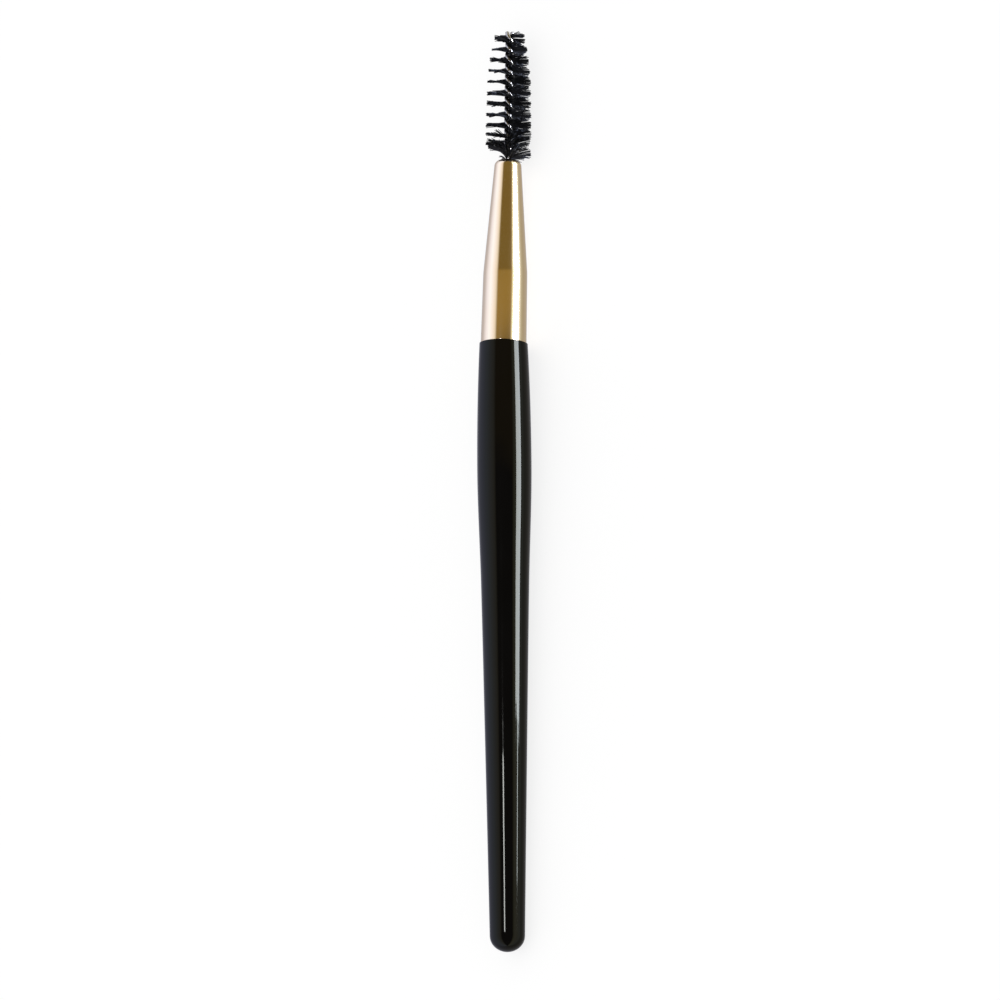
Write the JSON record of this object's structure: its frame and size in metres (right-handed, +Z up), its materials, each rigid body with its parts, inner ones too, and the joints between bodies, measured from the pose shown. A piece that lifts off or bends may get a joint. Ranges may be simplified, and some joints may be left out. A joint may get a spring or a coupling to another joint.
{
  "type": "eyebrow brush",
  "caption": "Slim eyebrow and lash brush: a twisted wire head of black nylon filaments in a tapered gold ferrule on a black lacquered wooden handle with a rounded belly and tail.",
  "frame": {"origin": "centre of the bounding box's footprint, on the surface that the brush lies on", "axes": "+Y along the brush from the tail to the bristle head, +Z up from the surface, +X to the right when the head points away"},
  "size_m": [0.0094, 0.1602, 0.0095],
  "materials": {
    "lacquered_wood": "high-gloss black lacquer over a turned wooden handle",
    "gold_ferrule": "polished pale gold, anodised",
    "potting_resin": "dark potting resin",
    "twisted_wire": "bright drawn stainless wire",
    "nylon_filament": "black nylon filament, satin"
  },
  "bodies": {
    "root": {"handle": "lacquered_wood", "ferrule": "gold_ferrule", "resin_plug": "potting_resin", "wire": "twisted_wire", "tuft_1": "nylon_filament", "tuft_2": "nylon_filament", "tuft_3": "nylon_filament", "tuft_4": "nylon_filament", "tuft_5": "nylon_filament", "tuft_6": "nylon_filament"}
  },
  "joints": []
}
